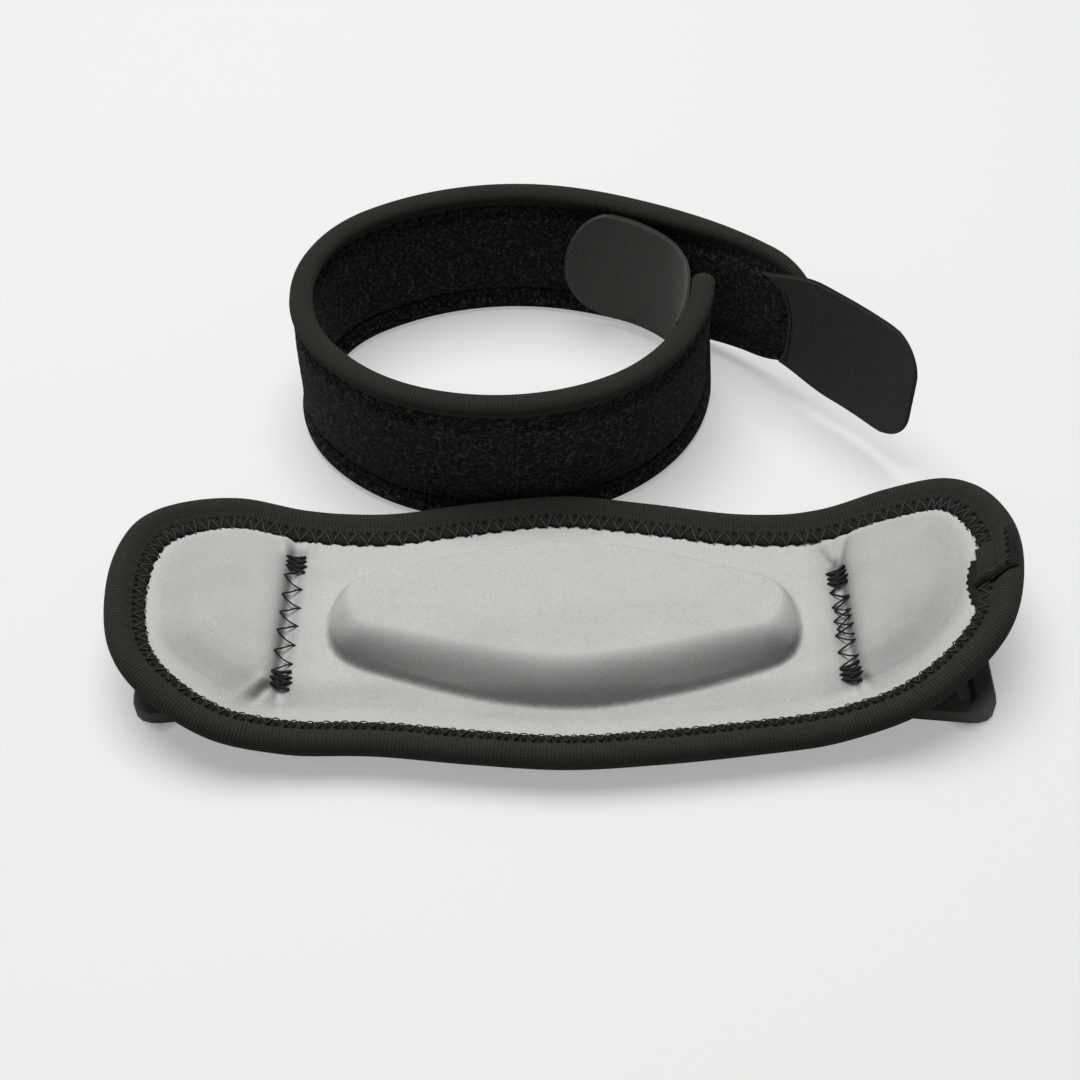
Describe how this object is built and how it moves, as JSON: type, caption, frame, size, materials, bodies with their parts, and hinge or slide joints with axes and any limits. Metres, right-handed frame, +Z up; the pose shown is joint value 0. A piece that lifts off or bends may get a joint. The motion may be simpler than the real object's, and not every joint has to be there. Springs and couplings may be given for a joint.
{
  "type": "tennis elbow strap",
  "caption": "Padded forearm cuff with a raised lens-shaped pressure pad on a slotted plastic plate, and its loop-pile strap with smooth end tabs standing on edge behind it.",
  "frame": {"origin": "middle of the whole footprint, on the surface that the part lies on", "axes": "+X runs along the cuff towards its folded binding end, +Y from the cuff towards the strap, +Z up"},
  "size_m": [0.166, 0.1328, 0.0337],
  "materials": {
    "plastic": "moulded black plastic with a low sheen",
    "webbing": "folded black webbing",
    "foam": "black padding with a brushed cover",
    "lining": "brushed light grey jersey",
    "binding": "black rib-knit tape with zigzag stitching",
    "pile": "black loop pile",
    "tab": "smooth dark grey hook tape"
  },
  "bodies": {
    "root": {"end_plate": "plastic", "anchor_left": "webbing", "anchor_right": "webbing", "pad_foam": "foam", "pressure_pad": "foam", "pad_lining": "lining", "pad_binding": "binding", "pad_binding_end": "binding", "strap_band": "pile", "strap_binding": "binding", "short_tab": "tab", "long_tab": "tab"}
  },
  "joints": []
}
